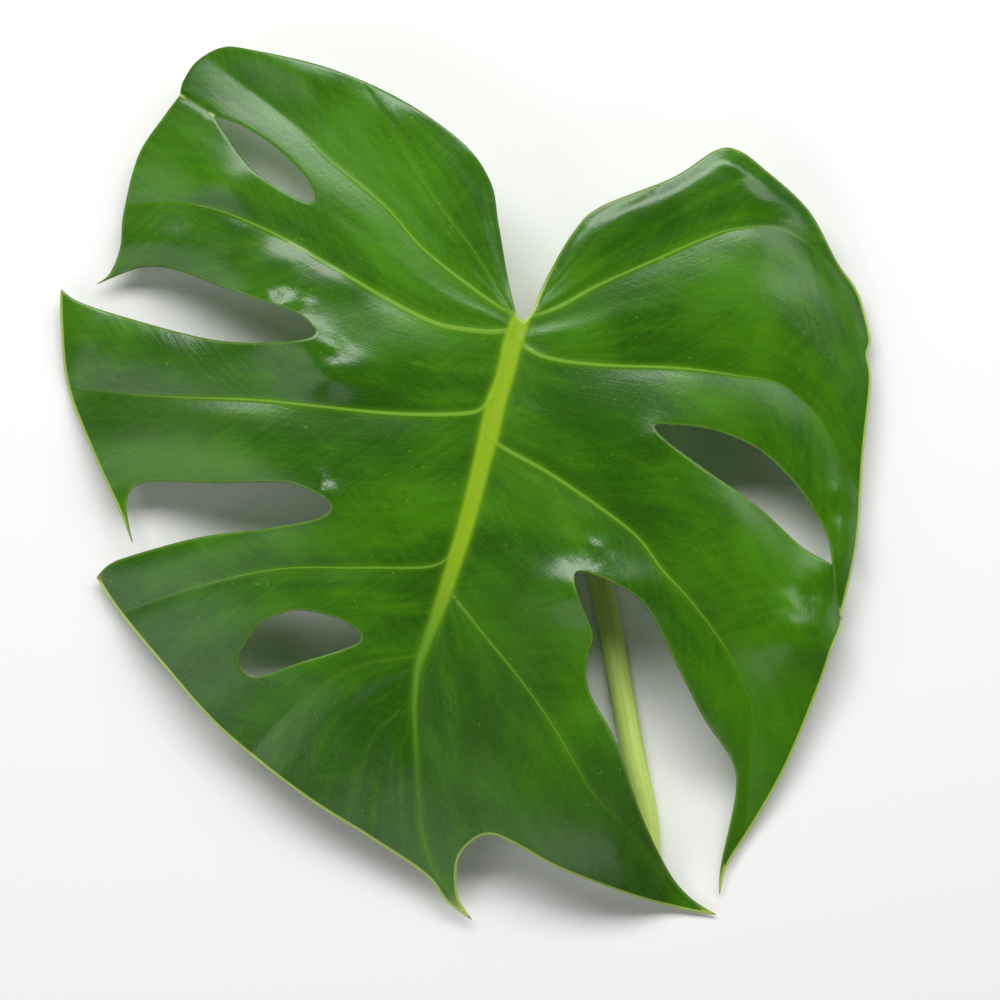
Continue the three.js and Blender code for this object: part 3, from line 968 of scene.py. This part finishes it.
class Graph(Tree):
    """A geometry node tree with named inputs."""

    def __init__(self, name, inputs):
        super().__init__(bpy.data.node_groups.new(name, "GeometryNodeTree"))
        face = self.tree.interface
        face.new_socket("Geometry", in_out="INPUT", socket_type="NodeSocketGeometry")
        for label, (kind, default) in inputs.items():
            socket = face.new_socket(label, in_out="INPUT", socket_type="NodeSocket" + kind)
            socket.default_value = default
        face.new_socket("Geometry", in_out="OUTPUT", socket_type="NodeSocketGeometry")
        self.inputs = self.add("NodeGroupInput").outputs

    def kept(self, geometry, **fields):
        """The geometry and its captured fields."""
        node = self.add("GeometryNodeCaptureAttribute", {"Geometry": geometry}, domain="POINT")
        for name, field in fields.items():
            node.capture_items.new("FLOAT", name)
            self.tree.links.new(field, node.inputs[name])
        return node.outputs

    def named(self, geometry, name, value, kind="FLOAT"):
        return self.add("GeometryNodeStoreNamedAttribute", {
            "Geometry": geometry, "Name": name, "Value": value}, data_type=kind).outputs[0]

    def end(self, geometry, material):
        smooth = self.add("GeometryNodeSetShadeSmooth", {"Geometry": geometry, "Shade Smooth": True})
        real = self.add("GeometryNodeRealizeInstances", {"Geometry": smooth.outputs[0]}).outputs[0]
        painted = self.add("GeometryNodeSetMaterial", {"Geometry": real, "Material": material})
        self.add("NodeGroupOutput", {"Geometry": painted.outputs[0]})

    def made(self, name, line, sizes):
        """A plain mesh object made by the tree from a line of points."""
        mesh = bpy.data.meshes.new(name)
        mesh.from_pydata(line.tolist(), [(i, i + 1) for i in range(len(line) - 1)], [])
        piece = bpy.data.objects.new(name, mesh)
        bpy.context.scene.collection.objects.link(piece)
        modifier = piece.modifiers.new(name, "NODES")
        modifier.node_group = self.tree
        for item in self.tree.interface.items_tree:
            if item.item_type == "SOCKET" and item.name in sizes:
                modifier[item.identifier] = sizes[item.name]
        depsgraph = bpy.context.evaluated_depsgraph_get()
        plain = bpy.data.meshes.new_from_object(piece.evaluated_get(depsgraph), depsgraph=depsgraph)
        piece.modifiers.clear()
        piece.data = plain
        return piece


def stalk_line(settings):
    """The middle of the stalk, from under the midrib down its knee and on to its cut end."""
    shift_x, shift_y = drawn_to_row()
    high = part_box("leaf_stalk")[1]
    cut = settings.cut_radius / MM
    path = [(*STALK_START, high.z / MM + STALK_START_RISE), *KNEE, *[(x, y, cut) for x, y in STALK]]
    return (smooth_line(path, 2) + (shift_x, shift_y, 0)) * MM


def make_stalk(settings):
    sizes = {"Top radius": settings.top_radius, "Cut radius": settings.cut_radius,
             "Knee radius": settings.knee_radius, "Groove": settings.groove_depth}
    graph = stalk_graph({name: ("Float", size) for name, size in sizes.items()},
                        stalk_material(settings))
    return graph.made("round_stalk", stalk_line(settings), sizes)


def stalk_graph(inputs, material):
    """Sweeps a round section with a shallow groove along the path, thicker at the knee."""
    g = Graph("stalk_sweep", inputs)
    path = g.add("GeometryNodeMeshToCurve", {"Mesh": g.inputs["Geometry"]}).outputs[0]
    path = g.add("GeometryNodeResampleCurve", {"Curve": path, "Count": 150}).outputs[0]
    along = g.add("GeometryNodeSplineParameter").outputs
    straight = g.add("ShaderNodeMapRange", {
        "Value": along["Factor"], "To Min": g.inputs["Top radius"],
        "To Max": g.inputs["Cut radius"]}).outputs[0]
    swell = g.add("ShaderNodeMapRange", {
        "Value": along["Factor"], "From Min": 0.02, "From Max": 0.14, "To Min": 1.0,
        "To Max": 0.0}, interpolation_type="SMOOTHSTEP").outputs[0]
    extra = g.minus(g.inputs["Knee radius"], g.inputs["Top radius"])
    radius = g.plus(straight, g.times(swell, extra))
    path = g.kept(path, along=along["Length"])

    ring = g.add("GeometryNodeCurvePrimitiveCircle", {"Resolution": 48, "Radius": 1.0}).outputs[0]
    turn = g.times(g.add("GeometryNodeSplineParameter").outputs["Factor"], math.tau)
    cosine = g.math("COSINE", turn)
    dent = g.math("POWER", g.math("MAXIMUM", cosine, 0.0), 12.0)
    depth = g.math("DIVIDE", g.inputs["Groove"], g.inputs["Cut radius"])
    shrink = g.minus(1.0, g.times(dent, depth))
    spot = g.add("GeometryNodeInputPosition").outputs[0]
    moved = g.add("ShaderNodeVectorMath", {0: spot, "Scale": shrink}, operation="SCALE").outputs[0]
    ring = g.add("GeometryNodeSetPosition", {"Geometry": ring, "Position": moved}).outputs[0]
    ring = g.kept(ring, cosine=cosine, sine=g.math("SINE", turn))

    tube = g.add("GeometryNodeCurveToMesh", {
        "Curve": path["Geometry"], "Profile Curve": ring["Geometry"], "Scale": radius,
        "Fill Caps": True}).outputs[0]
    around = g.add("ShaderNodeCombineXYZ", {
        "X": ring["cosine"], "Y": ring["sine"],
        "Z": g.times(path["along"], 60.0)}).outputs[0]
    g.end(g.named(tube, "around", around, "FLOAT_VECTOR"), material)
    return g


def make_cut_face(settings, stalk):
    """The wet cut face and the ends of its bundles, just proud of the stalk's flat end."""
    line = stalk_line(stalk)[-2:]
    ahead = (line[1] - line[0]) / np.linalg.norm(line[1] - line[0])
    sizes = {"Radius": CUT_SHARE * stalk.cut_radius, "Spacing": settings.spacing,
             "Bundle radius": settings.bundle_radius, "Seed": settings.seed,
             "Place": tuple(line[1] + CUT_PROUD * ahead), "Ahead": tuple(ahead)}
    kinds = {"Radius": "Float", "Spacing": "Float", "Bundle radius": "Float", "Seed": "Int",
             "Place": "Vector", "Ahead": "Vector"}
    graph = cut_face_graph({name: (kind, sizes[name]) for name, kind in kinds.items()},
                           cut_face_material(settings, stalk))
    face = np.array([line[1] - CUT_INSET * ahead, line[1] + CUT_PROUD * ahead])
    return graph.made("cut_bundles", face, sizes)


def cut_face_graph(inputs, material):
    """A thin disc, and small domes set out evenly over it."""
    g = Graph("cut_face", inputs)
    path = g.add("GeometryNodeMeshToCurve", {"Mesh": g.inputs["Geometry"]}).outputs[0]
    ring = g.add("GeometryNodeCurvePrimitiveCircle", {"Resolution": 48, "Radius": 1.0}).outputs[0]
    disc = g.add("GeometryNodeCurveToMesh", {
        "Curve": path, "Profile Curve": ring, "Scale": g.inputs["Radius"],
        "Fill Caps": True}).outputs[0]
    bed = g.add("GeometryNodeMeshCircle", {
        "Vertices": 48, "Radius": g.times(g.inputs["Radius"], 0.9)}, fill_type="NGON")
    spots = g.add("GeometryNodeDistributePointsOnFaces", {
        "Mesh": bed.outputs[0], "Distance Min": g.inputs["Spacing"], "Density Max": 4.0e6,
        "Seed": g.inputs["Seed"]}, distribute_method="POISSON").outputs[0]
    dome = g.add("GeometryNodeMeshUVSphere", {
        "Segments": 12, "Rings": 6, "Radius": g.inputs["Bundle radius"]}).outputs[0]
    dome = g.add("GeometryNodeTransform", {"Geometry": dome, "Scale": (1, 1, 0.35)}).outputs[0]
    dots = g.add("GeometryNodeInstanceOnPoints", {"Points": spots, "Instance": dome}).outputs[0]
    dots = g.add("GeometryNodeRealizeInstances", {"Geometry": dots}).outputs[0]
    turned = g.add("FunctionNodeAlignRotationToVector", {"Vector": g.inputs["Ahead"]}, axis="Z")
    dots = g.add("GeometryNodeTransform", {
        "Geometry": dots, "Translation": g.inputs["Place"],
        "Rotation": turned.outputs[0]}).outputs[0]
    both = g.add("GeometryNodeJoinGeometry")
    g.tree.links.new(g.named(disc, "bundle", 0.0), both.inputs[0])
    g.tree.links.new(g.named(dots, "bundle", 1.0), both.inputs[0])
    g.end(both.outputs[0], material)
    return g


# ---------------------------------------------------------------------------------------------
# Stage
# ---------------------------------------------------------------------------------------------

def soft_light(name, place, size, watts):
    """A pane of light that faces the leaf."""
    light = bpy.data.lights.new(name, "AREA")
    light.shape = "RECTANGLE"
    light.size, light.size_y = size
    light.energy = watts
    obj = bpy.data.objects.new(name, light)
    bpy.context.scene.collection.objects.link(obj)
    obj.location = place
    obj.rotation_euler = (-Vector(place)).to_track_quat("-Z", "Y").to_euler()


def make_floor(settings):
    size = settings.floor_size / 2
    mesh = bpy.data.meshes.new("floor")
    corners = [(-size, -size, 0), (size, -size, 0), (size, size, 0), (-size, size, 0)]
    mesh.from_pydata(corners, [], [(0, 1, 2, 3)])
    mesh.materials.append(plain_material("pale_floor", settings.floor_colour, 0.9))
    floor = bpy.data.objects.new("floor", mesh)
    bpy.context.scene.collection.objects.link(floor)


def make_lights(settings):
    world = bpy.data.worlds.new("soft_room")
    world.use_nodes = True
    background = world.node_tree.nodes["Background"].inputs
    background["Color"].default_value = (1, 1, 1, 1)
    background["Strength"].default_value = settings.room_light
    bpy.context.scene.world = world
    for name, (place, size, share) in LIGHTS.items():
        soft_light(name, place, size, share * settings.window_light)


def make_camera(settings):
    """A camera that looks straight down on the leaf."""
    camera = bpy.data.cameras.new("camera")
    camera.sensor_width = SENSOR_WIDTH
    camera.lens = camera.sensor_width * settings.camera_distance / settings.view_width
    camera.clip_end = 20
    obj = bpy.data.objects.new("camera", camera)
    scene = bpy.context.scene
    scene.collection.objects.link(obj)
    x, y = (np.array(VIEW_MIDDLE) + drawn_to_row()) * MM
    obj.location = (x, y, VIEW_HEIGHT + settings.camera_distance)
    scene.camera = obj
    scene.view_settings.view_transform = "Standard"


# ---------------------------------------------------------------------------------------------
# Add-on
# ---------------------------------------------------------------------------------------------

def length(name, description, default, low=0.0, high=10.0):
    return bpy.props.FloatProperty(
        name=name, description=description, default=default, min=low, max=high,
        subtype="DISTANCE", unit="LENGTH", precision=5)


def colour(name, description, default):
    return bpy.props.FloatVectorProperty(
        name=name, description=description, default=(*default, 1.0), size=4, min=0, max=1,
        subtype="COLOR")


class BladeSettings(bpy.types.PropertyGroup):
    cell: length("Cell", "Distance between the points of the blade's mesh", 0.00135, 0.0008, 0.01)
    thickness: length("Thickness", "Thickness of the blade between the veins", 0.0007)
    pillow: bpy.props.FloatProperty(
        name="Pillow", description="How far the blade swells up between its side veins",
        default=0.24, min=0, max=1)
    roughness: bpy.props.FloatProperty(
        name="Roughness", description="Roughness of the waxy upper face", default=0.27, min=0, max=1,
        subtype="FACTOR")
    deep_green: colour("Deep green", "Darkest green of the upper face", (0.018, 0.092, 0.001))
    fresh_green: colour("Fresh green", "Fresher green of the upper face", (0.055, 0.215, 0.001))
    # The greyish green that paints sheen on the upper face.
    painted_sheen_green: colour("Dull green", "Duller patches of the upper face", (0.032, 0.095, 0.012))
    lime_green: colour("Lime green", "Brightest streaks of the upper face", (0.13, 0.3, 0.004))
    vein_green: colour("Vein green", "Side veins", (0.18, 0.38, 0.03))
    midrib_green: colour("Midrib green", "Midrib", (0.27, 0.44, 0.008))
    midrib_tip_green: colour("Midrib tip green", "Midrib near the tip", (0.13, 0.31, 0.02))
    rim_green: colour("Rim green", "Thin pale edge of the blade", (0.5, 0.66, 0.12))
    dry_brown: colour("Dry brown", "Dried tips of the lobes", (0.3, 0.16, 0.06))
    under_green: colour("Under green", "Pale underside", (0.14, 0.33, 0.06))


class StalkSettings(bpy.types.PropertyGroup):
    top_radius: length("Top radius", "Radius of the stalk below its knee", 0.0035)
    cut_radius: length("Cut radius", "Radius of the stalk at its cut end", 0.004)
    knee_radius: length("Knee radius", "Radius of the thick knee under the blade", 0.0044)
    groove_depth: length("Groove depth", "Depth of the groove along the stalk", 0.0004)
    light_green: colour("Light green", "Lighter skin of the stalk", (0.6, 0.78, 0.19))
    dark_green: colour("Dark green", "Darker skin of the stalk", (0.47, 0.66, 0.12))
    fleck_green: colour("Fleck green", "Pale flecks of the stalk's skin", (0.75, 0.85, 0.42))


class CutSettings(bpy.types.PropertyGroup):
    spacing: length("Spacing", "Least distance between the bundles of the cut face", 0.00085)
    bundle_radius: length("Bundle radius", "Radius of the end of one bundle", 0.00021)
    seed: bpy.props.IntProperty(
        name="Seed", description="Changes how the bundles are set out", default=4, min=0)
    pith: colour("Pith", "Pale flesh between the bundles", (0.72, 0.82, 0.42))
    bundle: colour("Bundle", "Ends of the bundles", (0.3, 0.42, 0.1))


class StageSettings(bpy.types.PropertyGroup):
    floor_size: length("Floor size", "Side of the square floor", 6.0, 1, 20)
    floor_colour: colour("Floor colour", "Pale floor", (0.93, 0.925, 0.92))
    room_light: bpy.props.FloatProperty(
        name="Room light", description="Strength of the even light all round", default=0.06, min=0)
    window_light: bpy.props.FloatProperty(
        name="Window light", description="Power of the large soft light beyond the notch",
        default=33, min=0, subtype="POWER", unit="POWER")
    camera_distance: length("Camera distance", "Distance from the camera to the leaf", 1.7, 0.3, 10)
    view_width: length("View width", "Width of what the camera sees at the leaf", 0.32, 0.05, 5)


class LEAF_OT_blade(bpy.types.Operator):
    """Make the split blade with its veins"""
    bl_idname = "leaf.blade"
    bl_label = "Blade"

    def execute(self, context):
        piece = make_blade(context.scene.leaf_blade)
        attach(piece, "root")
        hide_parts("leaf_blade")
        return {"FINISHED"}


class LEAF_OT_stalk(bpy.types.Operator):
    """Make the round stalk with its knee and cut end"""
    bl_idname = "leaf.stalk"
    bl_label = "Stalk"

    def execute(self, context):
        piece = make_stalk(context.scene.leaf_stalk)
        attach(piece, "root")
        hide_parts("leaf_stalk")
        return {"FINISHED"}


class LEAF_OT_cut_face(bpy.types.Operator):
    """Make the cut face with the ends of its bundles"""
    bl_idname = "leaf.cut_face"
    bl_label = "Cut face"

    def execute(self, context):
        piece = make_cut_face(context.scene.leaf_cut, context.scene.leaf_stalk)
        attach(piece, "root")
        return {"FINISHED"}


class LEAF_OT_stage(bpy.types.Operator):
    """Make the floor, the soft lights and the camera"""
    bl_idname = "leaf.stage"
    bl_label = "Stage"

    def execute(self, context):
        settings = context.scene.leaf_stage
        make_floor(settings)
        make_lights(settings)
        make_camera(settings)
        return {"FINISHED"}


class LEAF_PT_panel(bpy.types.Panel):
    """Lists the leaf's settings and operators"""
    bl_idname = "LEAF_PT_panel"
    bl_label = "Monstera leaf"
    bl_space_type = "VIEW_3D"
    bl_region_type = "UI"
    bl_category = "Leaf"

    def draw(self, context):
        for group, operator in PARTS:
            box = self.layout.box()
            settings = getattr(context.scene, group)
            for key in settings.__annotations__:
                box.prop(settings, key)
            box.operator(operator)


PARTS = (("leaf_blade", "leaf.blade"), ("leaf_stalk", "leaf.stalk"), ("leaf_cut", "leaf.cut_face"),
         ("leaf_stage", "leaf.stage"))
SETTINGS = (BladeSettings, StalkSettings, CutSettings, StageSettings)
CLASSES = (*SETTINGS, LEAF_OT_blade, LEAF_OT_stalk, LEAF_OT_cut_face, LEAF_OT_stage, LEAF_PT_panel)


def register():
    for cls in CLASSES:
        bpy.utils.register_class(cls)
    for (group, _), cls in zip(PARTS, SETTINGS):
        setattr(bpy.types.Scene, group, bpy.props.PointerProperty(type=cls))


def unregister():
    for group, _ in PARTS:
        delattr(bpy.types.Scene, group)
    for cls in reversed(CLASSES):
        bpy.utils.unregister_class(cls)


def main():
    register()
    bpy.ops.leaf.stage()
    bpy.ops.leaf.blade()
    bpy.ops.leaf.stalk()
    bpy.ops.leaf.cut_face()


if __name__ == "__main__":
    main()
